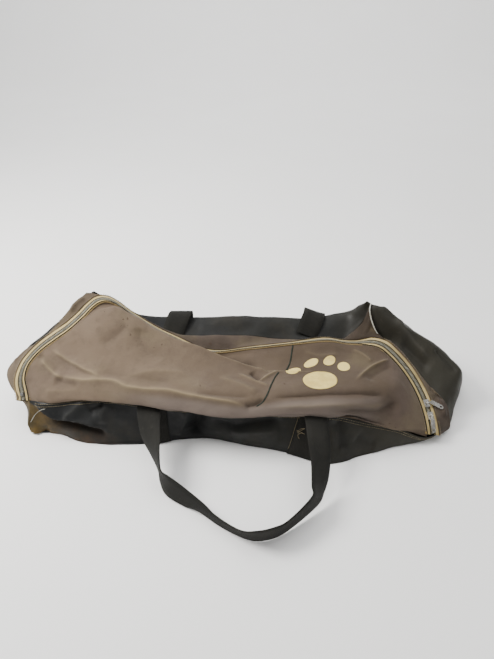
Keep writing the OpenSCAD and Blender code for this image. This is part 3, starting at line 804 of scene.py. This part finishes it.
def press(grid, side, folds, plane=(0, 1), rows=(0.05, 0.05), columns=(0.03, 0.03)):
    """Pushes fold lines (line, height, width, step, tone) into a grid. A tone above 0 makes a pale
    crest, wear with painted highlight; below 0 it paints shade along the fold. Returns the grid
    with its crest and shade marks."""
    h, wear, shade = np.zeros((3, *grid.shape[:2]))
    for line, height, width, step, painted_tone in folds:
        h += FOLD_GAIN * fold(grid, line, height, width, step, plane)
        wear += fold(grid, line, 1.0, max(2.2, width * 0.4), 0, plane) * max(painted_tone, 0)
        shade += fold(grid, line, 1.0, width, 0, plane) * max(-painted_tone, 0)
    h *= edge_fade(grid, rows, columns)
    grid = grid + h[..., None] * normals(grid, side)
    return grid, {"wear": np.clip(wear, 0, 1), "shade": np.clip(shade, 0, 1)}


def laid(grid):
    """The grid with nothing below the floor."""
    grid[..., 2] = np.maximum(grid[..., 2], FLOOR_GAP)
    return grid


def wall(name, grid, side, node, marks):
    ob = cloth(name, laid(grid), WALL_CLOTH, side, marks)
    return finish_piece(ob, COATED, "bag_body", [node])


front_left_corner = [
    (-437, -103, 0.8), (-448, -112, 5), (-453, -106, 20), (-449, -99, 34), (-446, -92, 50),
    (-443, -85, 70)]
front = patch([tuck(front_foot), front_foot, front_seam], np.linspace(0, 1, 300),
              np.linspace(0, 1, 80))
front = match(front, "left", front_left_corner, 0.05)
for x, width, push, top in ((-418, 9, 5, 26), (-436, 8, -4, 30)):
    front[..., 1] += (push * np.exp(-((front[..., 0] - x) / width)**2)
                      * smoothstep(1 - front[..., 2] / top))
front = crumpled(front, [(70, 2.6, 11), (26, 0.7, 12)], 1, (0.5, 0.1))
front, front_marks = press(front, 1, [
    ([(-437, 63), (-417, 60), (-396, 48), (-378, 41), (-346, 42), (-307, 36), (-284, 29)],
     2.5, 4, 9, 0.5),
    ([(-404, 40), (-378, 33), (-346, 34), (-307, 28), (-282, 21)], -7, 7, 0, -1.0),
    ([(-325, 84), (-345, 66), (-372, 44)], 4, 9, 0, 0.3),
    ([(-288, 86), (-300, 72), (-318, 60)], -5, 8, 0, -0.5),
    ([(-276, 84), (-290, 60), (-292, 40)], 3, 9, 0, 0.25),
    ([(-120, 90), (-126, 48), (-146, 12)], 4, 7, 0, 0.25),
    ([(-94, 92), (-100, 50), (-114, 10)], -13, 15, 0, -1.0),
    ([(-80, 62), (-30, 52), (20, 66), (74, 76)], -7, 13, 0, -0.6),
    ([(-40, 38), (10, 44), (66, 54)], 6, 18, 0, 0.2),
    ([(176, 78), (184, 50), (190, 14)], -6, 12, 0, -0.5),
    ([(214, 44), (236, 26), (258, 16)], -4, 11, 0, -0.3),
], plane=(0, 2), rows=(0.42, 0.03))
flap_edge = [(-470, 76), (-437, 62), (-417, 58), (-396, 46), (-378, 38), (-346, 38), (-307, 32),
             (-284, 25), (-220, 0)]
below_flap, _ = line_distance(front.reshape(-1, 3)[:, [0, 2]], flap_edge)
front_marks["stain"] = (smoothstep(0.5 - below_flap / 5)
                        * smoothstep((-240 - front[..., 0].ravel()) / 120))

back = patch([back_edge, back_ridge, back_mid, back_foot, tuck(back_foot)],
             np.linspace(0, 1, 260), np.linspace(0, 1, 110))
back = crumpled(back, [(80, 3.0, 21), (30, 0.8, 22)], -1, (0.06, 0.25))
back, back_marks = press(back, -1, [
    ([(-250, 70), (-180, 50), (-90, 46)], -6, 14, 0, -0.4),
    ([(-230, 40), (-150, 28), (-60, 30)], 5, 16, 0, 0.2),
    ([(20, 100), (90, 66), (190, 50)], -6, 15, 0, -0.4),
    ([(200, 110), (250, 70), (330, 44)], -8, 16, 0, -0.5),
    ([(240, 60), (310, 30), (400, 20)], 5, 16, 0, 0.2),
], plane=(0, 2), rows=(0.3, 0.3))
back_marks["shade"] = np.maximum(back_marks["shade"], 0.4)

left = patch([left_edge, left_bulge, left_mid, left_foot, tuck(left_foot)],
             np.linspace(0, 1, 130), np.linspace(0, 1, 80))
left = match(left, "left", front_left_corner[::-1], 0.2)
left = match(left, "right", back[:, 0], 0.2)
left = crumpled(left, [(60, 3.0, 31)], 1, (0.1, 0.3), (0.1, 0.1))
left, left_marks = press(left, 1, [
    ([(-70, 60), (-30, 40), (30, 30)], -7, 12, 0, -0.5),
    ([(-20, 86), (30, 70), (90, 60)], 6, 14, 0, 0.3),
    ([(40, 120), (70, 90), (110, 60)], -7, 13, 0, -0.4),
], plane=(1, 2), rows=(0.1, 0.3), columns=(0.1, 0.1))
left_marks["stain"] = smoothstep((-20 - left[..., 1]) / 40) * smoothstep((85 - left[..., 2]) / 20)

right = patch([right_top, right_ridge, right_foot, tuck(right_foot)],
              np.linspace(0, 1, 160), np.linspace(0, 1, 90))
right = match(right, "left", back[:, -1], 0.12)
right = match(right, "right", front[::-1, -1], 0.12)
end_seam = np.concatenate([along(corner_edge, np.linspace(0, 1, 40))[:-1],
                           along(right_edge, np.linspace(0, 1, 100))])
right = match(right, "foot", end_seam + [0.4, 0.4, -0.6], 0.25)
right = crumpled(right, [(60, 1.4, 41), (24, 0.6, 42)], 1, (0.08, 0.3), (0.08, 0.08))
right, right_marks = press(right, 1, [
    ([(318, 72), (340, 54), (366, 30), (392, 6)], 4, 9, 0, 0.35),
    ([(330, 40), (360, 14), (392, -14)], -5, 12, 0, -0.4),
    ([(290, 96), (318, 80), (346, 66)], 3, 8, 0, 0.2),
    ([(404, 30), (430, 10), (452, -16)], -4, 10, 0, -0.3),
], rows=(0.08, 0.3), columns=(0.08, 0.08))

for name, grid, side, node, marks in (
        ("tub_front", front, 1, "front_wall", front_marks),
        ("tub_back", back, -1, "back_wall", back_marks),
        ("tub_left_end", left, 1, "left_end_wall", left_marks),
        ("tub_right_end", right, 1, "right_end_wall", right_marks)):
    wall(name, grid, side, node, marks)

outline = np.concatenate([tuck(r, 8, 1.2) for r in (
    front_foot, right_foot[::-1], back_foot[::-1], left_foot[::-1])])
middle = outline.mean(axis=0) * [1, 0, 1]
rings = [middle + (outline - middle) * f for f in (1.0, 0.8, 0.6, 0.4, 0.2, 0.05)]
faces = ring_faces(len(rings), len(outline))
del faces[-2]                                # the first ring stays open
bottom = new_mesh("tub_bottom", metres(np.concatenate(rings)), faces)
set_uv(bottom, np.concatenate(rings)[:, :2] * MM)
thicken(bottom, BOTTOM_CLOTH, 1)
finish_piece(bottom, COATED, "bag_body", ["base_panel"])

# ---- canvas lid with its fold
centre, out, up = zip_route()
run = run_along(centre)
inner = centre - CLOTH_AT * out + CLOTH_LIFT * up
CORNER = int(N_BACK * (BACK_FROM - ZIP_START) / (along_back[-1] - ZIP_START))
ARC_START = N_BACK + N_JOIN // 2

seam = at(front_seam, np.linspace(0, 11.25, 12)) + [0, 1, 0]
roll_foot = np.array(fold_foot, float) + [0, -4, -4]
rows = np.concatenate([np.linspace(0, 1, 8)[:-1], np.linspace(1, 2, 26)[:-1],
                       np.linspace(2, 6, 150)]) / 6
canvas = patch([seam, roll_foot, fold_front, fold_top, lid_middle, lid_ridge, lid_back],
               np.linspace(0, 1, 330), rows)
canvas = match(canvas, "left", np.concatenate([[(-444, -86, 64)], inner[4:CORNER + 1]]), 0.1)
canvas = match(canvas, "right", np.concatenate([[(364, -134, 16)], inner[ARC_START:-3][::-1]]),
               0.12)
canvas = match(canvas, "top", inner[CORNER:ARC_START + 1], 0.1)
canvas = crumpled(canvas, [(110, 3.0, 1), (38, 1.1, 2), (15, 0.3, 3)])
canvas, canvas_marks = press(canvas, 1, [
    ([(-388, -58), (-360, -66), (-331, -74), (-295, -80), (-262, -84), (-227, -100), (-150, -112),
      (-90, -124), (-27, -132), (4, -142)], 4.5, 7, 0, 0.9),
    ([(-423, -29), (-396, -50), (-370, -67)], 4.5, 5, 0, 0.9),
    ([(-428, -18), (-404, -40), (-380, -58)], -2, 5, 0, -0.15),
    ([(-404, -12), (-344, -46), (-284, -78)], 4.5, 6, 0, 0.7),
    ([(-396, -20), (-336, -56), (-296, -76)], -2, 6, 0, -0.15),
    ([(-390, -64), (-366, -74), (-330, -82)], -2.5, 9, 0, -0.35),
    ([(-410, -80), (-372, -86), (-330, -86)], 1.2, 7, 0, 0.2),
    ([(-300, -66), (-220, -80), (-140, -94)], -2.5, 13, 0, -0.35),
    ([(-262, -84), (-190, -66), (-110, -58)], 2.5, 14, 0, 0.2),
    ([(-250, 36), (-270, 8), (-300, -14)], -3, 13, 0, -0.3),
    ([(-225, 36), (-215, 0), (-170, -34)], -3, 15, 0, -0.2),
    ([(-170, 34), (-89, 9), (-29, -12), (19, -30), (54, -48)], 7, 8, -7, 0.5),
    ([(-160, 44), (-80, 20), (-18, 0), (30, -20)], -5, 9, 0, -0.9),
    ([(8, -40), (18, -56), (28, -70)], -6, 5, 0, -0.9),
    ([(23, -72), (40, -58), (64, -36)], 3.5, 4, 0, 0.7),
    ([(-20, -46), (14, -70), (48, -92)], 3, 5, 0, 0.5),
    ([(10, -34), (63, -36), (90, -37), (140, -40)], 2.5, 3.5, -4, 0.6),
    ([(304, -2), (257, -31), (214, -80)], 4, 5, 0, 0.6),
    ([(308, -18), (268, -46), (240, -76)], -3, 9, 0, -0.3),
    ([(36, -124), (104, -119), (178, -117), (241, -112), (276, -104)], -4, 6, 0, -0.2),
    ([(30, -140), (104, -135), (178, -133), (241, -127), (282, -112)], 4, 8, 0, 0.35),
    ([(150, -145), (241, -133), (271, -123), (306, -104)], -8, 8, 0, -0.7),
    ([(-6, -140), (20, -134), (34, -122)], -4, 6, 0, -0.5),
    ([(-100, -118), (-40, -116), (10, -118)], -3, 8, 0, -0.3),
    ([(-60, -60), (-10, -84), (20, -110)], 2.5, 12, 0, 0.2),
    ([(226, 26), (250, 4), (262, -16)], 2, 6, 0, 0.3),
    ([(120, 20), (160, 6), (200, 12)], 1.6, 8, 0, 0.15),
], rows=(0.02, 0.04), columns=(0.02, 0.02))
# Purple-grey painted shade over the roll's underside and front, faded out towards both ends.
roll = smoothstep((rows - 0.1) / 0.1) * smoothstep((0.47 - rows) / 0.06)
canvas_marks["dust"] = (roll[:, None] * smoothstep((canvas[..., 0] + 300) / 160)
                        * smoothstep((290 - canvas[..., 0]) / 70))
lid = cloth("canvas_lid", canvas, CANVAS_CLOTH, marks=canvas_marks)
finish_piece(lid, CANVAS, nodes=["lid_panel", "front_fold"])

# ---- canvas band and zip
corner_mix = smoothstep((along_back - LEFT_TO) / (BACK_FROM - LEFT_TO))[:, None]
far_left = along(left_edge, np.clip(along_back / LEFT_TO, 0, 1))
far_back = along(back_edge, np.clip((along_back - BACK_FROM) / (along_back[-1] - BACK_FROM), 0, 1))
far = np.concatenate([far_left * (1 - corner_mix) + far_back * corner_mix,
                      along(corner_edge, np.linspace(0, 1, 9)[1:-1]),
                      along(right_edge, np.linspace(0, 1, N_ARC))])
near = centre + CLOTH_AT * out + CLOTH_LIFT * up
band = near[None] + (far - near)[None] * np.linspace(0, 1, 40)[:, None, None]
band = crumpled(band, [(40, 2.2, 5), (16, 0.5, 6)], -1, (0.1, 0.05), (0.02, 0.02))
band, band_marks = press(band, -1, [
    ([(272, 88), (284, 72), (296, 60)], -5, 6, 0, -0.8),
    ([(266, 74), (280, 62), (300, 56)], 3, 6, 0, 0.3),
    ([(290, 78), (298, 66), (306, 56)], 3, 5, 0, 0.3),
    ([(396, -62), (404, -80), (406, -98)], -4, 6, 0, -0.5),
    ([(380, -46), (398, -56), (408, -70)], 3, 5, 0, 0.3),
    ([(-488, -20), (-470, 0), (-446, 14)], -3, 7, 0, -0.4),
    ([(-380, 66), (-364, 84), (-350, 98)], -3, 6, 0, -0.4),
], rows=(0.1, 0.05), columns=(0.02, 0.02))
finish_piece(cloth("zip_band", band, CANVAS_CLOTH, -1, band_marks), SHADED_BAND_CANVAS, "bag_body",
             ["left_end_band", "back_band", "right_end_band"])

TAPE_PROFILE = [(3.2, 0.5), (5.0, 0.9), (6.0, 0.5), (7.0, 0.75), (15.6, 0.7), (16.2, 0.3),
                (16.2, -0.2), (15.6, -0.6), (5.0, -0.7), (3.2, -0.3)]


def mirrored(profile):
    return [(-a, b) for a, b in profile][::-1]


def tooth_row(name, sign):
    """One row of moulded zip teeth on the inner edge of a tape."""
    pitch = 3.0
    count = int(run[-1] / pitch) - 1
    s = (np.arange(count) + (0.25 if sign > 0 else 0.75)) * pitch + 1
    c, o, u = at_run(centre, run, s), unit(at_run(out, run, s)), unit(at_run(up, run, s))
    t = np.cross(o, u)
    ring = [(-0.55, -1.2), (0.55, -1.2), (0.95, 0), (0.55, 1.2), (-0.55, 1.2), (-0.95, 0)]
    stations = [(-0.9, 0.5), (0.0, 0.95), (1.2, 1.0), (2.9, 1.0), (3.4, 0.6)]
    faces = ring_faces(len(stations), len(ring), flip=sign < 0)
    parts = []
    for k in range(count):
        pts = [c[k] + sign * a * o[k] + f * x * t[k] + f * z * u[k]
               for a, f in stations for x, z in ring]
        parts.append((metres(pts), faces))
    return merge(name, parts)


finish_piece(swept("zip_tape_band", centre, out, up, TAPE_PROFILE), TAPE,
             "bag_body", ["band_tape"])
lid_tape = finish_piece(swept("zip_tape_lid", centre, out, up, mirrored(TAPE_PROFILE)), TAPE,
                        nodes=["lid_tape", "fold_tape"])
finish_piece(tooth_row("zip_teeth_band", 1), TEETH, "bag_body", ["band_teeth"])
lid_teeth = finish_piece(tooth_row("zip_teeth_lid", -1), TEETH,
                         nodes=["lid_teeth", "fold_teeth"])

# ---- handles
front_outer = [
    (-217, -112, 90), (-213, -137, 70), (-203, -166, 52), (-182, -196, 38), (-168, -216, 20),
    (-163, -234, 8), (-149, -259, 3), (-114, -281, 2), (-88, -291, 2), (-44, -322, 2),
    (0, -344, 2), (31, -346, 2), (67, -331, 2), (125, -286, 10), (140, -264, 20),
    (150, -241, 36), (157, -200, 55), (157, -165, 68), (154, -134, 86)]
front_inner = [
    (-170, -113, 90), (-168, -145, 80), (-163, -186, 76), (-159, -223, 73), (-155, -245, 59),
    (-142, -251, 50), (-118, -264, 41), (-77, -294, 32), (-53, -316, 27), (-12, -345, 32),
    (16, -356, 48), (44, -351, 50), (70, -338, 51), (111, -298, 56), (113, -277, 60),
    (115, -237, 71), (113, -192, 78), (112, -158, 82), (110, -135, 90)]
rear_loop = [
    (-169, 85, 107), (-159, 107, 128), (-152, 125, 137), (-151, 142, 130), (-153, 159, 100),
    (-156, 169, 60), (-148, 184, 34), (-120, 203, 27), (-70, 215, 27), (0, 219, 27),
    (70, 215, 27), (126, 203, 27), (156, 184, 36), (162, 169, 64), (160, 159, 102),
    (157, 142, 130), (155, 125, 137), (146, 106, 127), (134, 85, 104)]
rear_width = 5 * [(1, 0, 0)] + [
    (1, 0, 0.1), (0.7, 0, 0.7), (0.1, 0, 1), (0, 0, 1), (0, 0, 1), (0, 0, 1), (-0.1, 0, 1),
    (-0.7, 0, 0.7), (-1, 0, 0.1), (-1, 0, 0), (-1, 0.2, 0.2), (-1, 0.4, 0.4), (-1, 0.4, 0.45),
    (-1, 0.3, 0.4)]
STRAP_WIDTH = 50
SEWN_LIFT = 1.9
STRAP = [(-25, -0.5), (-24.4, -1.1), (-12, -1.25), (0, -1.3), (12, -1.25), (24.4, -1.1),
         (25, -0.5), (25, 0.5), (24.4, 1.1), (12, 1.25), (0, 1.3), (-12, 1.25),
         (-24.4, 1.1), (-25, 0.5)]


def webbing(name, route, width, steps):
    """Webbing of constant width along a route, turned as the second list says."""
    s = np.linspace(0, len(route) - 1, steps)
    c, t, w = at(route, s), heading(route, s), at(width, s)
    a = unit(w - (w * t).sum(axis=1, keepdims=True) * t)
    return swept(name, c, a, np.cross(t, a), STRAP)


def webbing_between(name, left_side, right_side, steps):
    """Webbing whose two long sides follow two rails."""
    s = np.linspace(0, len(left_side) - 1, steps)
    a, b = at(left_side, s), at(right_side, s)
    c, wide = (a + b) / 2, (b - a) / STRAP_WIDTH
    return swept(name, c, wide, unit(np.cross(unit(np.gradient(c, axis=0)), wide)), STRAP)


front_handle = finish_piece(webbing_between("handle_front", front_outer, front_inner, 360),
                            WEBBING, nodes=["front_handle"])
rear_handle = finish_piece(webbing("handle_rear", rear_loop, rear_width, 320),
                           WEBBING, nodes=["rear_handle"])


def sewn(name, grid, foot, top, v, side, node):
    """Webbing sewn flat on a wall, from a stretch of its foot to a stretch of its top."""
    vs = np.linspace(v[0], v[1], 90)
    f = (vs - v[0]) / (v[1] - v[0])
    u0 = foot[0] + (top[0] - foot[0]) * f
    u1 = foot[1] + (top[1] - foot[1]) * f
    c = sample(grid, (u0 + u1) / 2, vs)
    a = unit(sample(grid, u1, vs) - sample(grid, u0, vs))
    t = unit(np.gradient(c, axis=0))
    n = side * unit(np.cross(a, t))
    pts = np.array([sample(grid, u0 + (u1 - u0) * (x / STRAP_WIDTH + 0.5), vs)
                    + (SEWN_LIFT + z) * n for x, z in STRAP])
    ob = closed_band(name, pts, run_along(c), [x for x, z in STRAP], flip=side < 0)
    return finish_piece(ob, WEBBING, "bag_body", [node])


sewn("strap_front_left", front, (0.318, 0.366), (0.312, 0.362), (0.47, 0.985), 1,
     "front_strap_left")
sewn("strap_front_right", front, (0.583, 0.640), (0.607, 0.668), (0.47, 0.985), 1,
     "front_strap_right")
sewn("strap_rear_left", back, (0.236, 0.278), (0.236, 0.278), (0.03, 0.76), -1,
     "rear_strap_left")
sewn("strap_rear_right", back, (0.655, 0.727), (0.655, 0.727), (0.03, 0.76), -1,
     "rear_strap_right")

# ---- piping
finish_piece(tube("piping_left", along(left_edge, np.linspace(0, 1, 120)), 1.1), OLD_PIPING,
             "bag_body", ["left_piping"])
proud = np.linspace(1, 3, 60)[:, None]       # it stands off the seam more and more downwards
upper_path = along(corner_edge, np.linspace(0, 0.8, 60)) + proud * [-0.4, -2.0, 2.4]
finish_piece(tube("piping_right_upper", upper_path, 1.3), PIPING, "bag_body",
             ["right_piping"])
finish_piece(tube("piping_right_lower", along(right_edge, np.linspace(0, 1, 110)), 0.9),
             OLD_PIPING, "bag_body", ["right_piping"])

# ---- print on the lid
LID_V0 = 3 / 6
PADS = [(0.712, 0.17, 0.04, 0.15), (0.652, 0.4, 0.017, 0.09), (0.69, 0.53, 0.017, 0.095),
        (0.738, 0.53, 0.017, 0.095), (0.778, 0.39, 0.017, 0.09)]
parts = []
PAD_N = 25
PRINT_LIFT, PRINT_THICK = 0.35, 0.3
for pu, pv, ru, rv in PADS:
    a, b = np.meshgrid(np.linspace(-1, 1, PAD_N), np.linspace(-1, 1, PAD_N))
    u = pu + ru * a * np.sqrt(1 - b * b / 2)
    v = LID_V0 + (1 - LID_V0) * (pv + rv * b * np.sqrt(1 - a * a / 2))
    pts = sample(canvas, u, v, rows)
    nn = sample(normals(canvas), u, v, rows)
    parts.append((metres((pts + PRINT_LIFT * nn).reshape(-1, 3)), grid_faces(PAD_N, PAD_N)))
paw = merge("paw_print", parts)
set_uv(paw, np.array([v.co for v in paw.data.vertices])[:, :2])
thicken(paw, PRINT_THICK, 1)
finish_piece(paw, PRINT, nodes=["printed_mark"])

# ---- seams, stitching and line
def on_grid(grid, line, steps, lift, rows=None):
    """Points and outward directions along a line of (u, v) places on a grid."""
    uv = along(np.array(line, float), np.linspace(0, 1, steps))
    n = unit(sample(normals(grid), uv[:, 0], uv[:, 1], rows))
    return sample(grid, uv[:, 0], uv[:, 1], rows) + lift * n, n


def below_seam(distance, steps=420):
    """Points and outward directions along the front wall, a distance under its top seam."""
    u = np.linspace(0.02, 0.965, steps)
    high, low = sample(front, u, np.ones(steps)), sample(front, u, np.full(steps, 0.5))
    v = 1 - 0.5 * distance / np.linalg.norm(high - low, axis=1)
    n = unit(sample(normals(front), u, v))
    return sample(front, u, v) + 0.3 * n, n


for name, distance in (("seam_stitch_upper", 4.0), ("seam_stitch_lower", 8.5)):
    finish_piece(stitches(name, *below_seam(distance), 3.6, 0.42), THREAD, "bag_body")

lid_edge = finish_piece(stitches("lid_edge_stitch", inner - 3.5 * out + 1.9 * up, up, 3.4, 0.4),
                        THREAD)
band_stitch_at = centre + (CLOTH_AT + 3.0) * out + 2.2 * up
finish_piece(stitches("band_edge_stitch", band_stitch_at, up, 3.4, 0.4), THREAD,
             "bag_body")
# Thin dark tube along the lid cloth's edge: its seam, and painted shadow where the edge lies over
# the tape.
lid_edge_shadow_seam = finish_piece(tube("lid_edge_shadow_seam", inner + 1.1 * up, 0.9), SEAM_SHADOW_DARK)

LINE_HALF = 1.5
lid_lines = []
for line in ([(0.641, 0.985), (0.638, 0.84), (0.634, 0.7)],
             [(0.62, 0.69), (0.602, 0.575), (0.587, 0.476), (0.574, 0.44)]):
    path, n = on_grid(canvas, line, 60, PRINT_LIFT, rows)
    wide = unit(np.cross(unit(np.gradient(path, axis=0)), n))
    pts = np.stack([path - LINE_HALF * wide, path + LINE_HALF * wide])
    lid_lines.append((metres(pts.reshape(-1, 3)), grid_faces(60, 2)))
lid_line = merge("lid_line", lid_lines)
thicken(lid_line, PRINT_THICK, -1)
finish_piece(lid_line, LINE)

THREAD_R = 0.35
path, n = on_grid(front, [(0.604, 0.985), (0.595, 0.81), (0.585, 0.57)], 60, 0.8)
finish_piece(tube("strap_thread", path, THREAD_R, 6), THREAD, "bag_body")
middle, n = on_grid(front, [(0.6, 0.81), (0.601, 0.8)], 2, 5.0)
sideways = unit(np.cross([0, 0, 1.0], n[0]))
upwards = np.cross(n[0], sideways)
for name, strand in (("loose_thread_long", [(0, 4), (8, 1), (16, -3), (9, -1), (3, -6), (6, -14)]),
                     ("loose_thread_short", [(1, 0), (7, 7), (15, 9), (8, 4), (2, -2)])):
    bend = along(np.array(strand, float), np.linspace(0, 1, 50))
    path = middle[0] + bend[:, :1] * sideways + bend[:, 1:] * upwards
    finish_piece(tube(name, path, THREAD_R, 6), THREAD, "bag_body")
path, n = on_grid(front, [(0.064, 0.92), (0.042, 0.89), (0.02, 0.81), (0.008, 0.7)], 50, 0.5)
finish_piece(tube("piping_front_corner", path, 0.4), PIPING, "bag_body")

# ---- metal, rounded copies of the CAD
for node, name in (("upper_slider", "slider_upper"), ("lower_slider", "slider_lower"),
                   ("upper_puller", "puller_upper"), ("lower_puller", "puller_lower"),
                   ("end_stops", "zip_stops")):
    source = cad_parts[node]
    ob = bpy.data.objects.new(name, source.data.copy())
    ob.data.materials.clear()
    ob.matrix_world = source.matrix_world
    bpy.context.scene.collection.objects.link(ob)
    bevel = ob.modifiers.new("round", "BEVEL")
    bevel.width = 0.35 * MM
    bevel.segments = 3
    bevel.limit_method = "ANGLE"
    bevel.angle_limit = math.radians(35)
    finish_piece(ob, NICKEL, "bag_body" if node == "end_stops" else node, [node])

# ---- transforms of the pieces without a body, baked into their meshes
for ob in (lid, lid_tape, lid_teeth, paw, lid_edge, lid_edge_shadow_seam, lid_line):
    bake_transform(ob)
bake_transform(front_handle)
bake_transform(rear_handle)
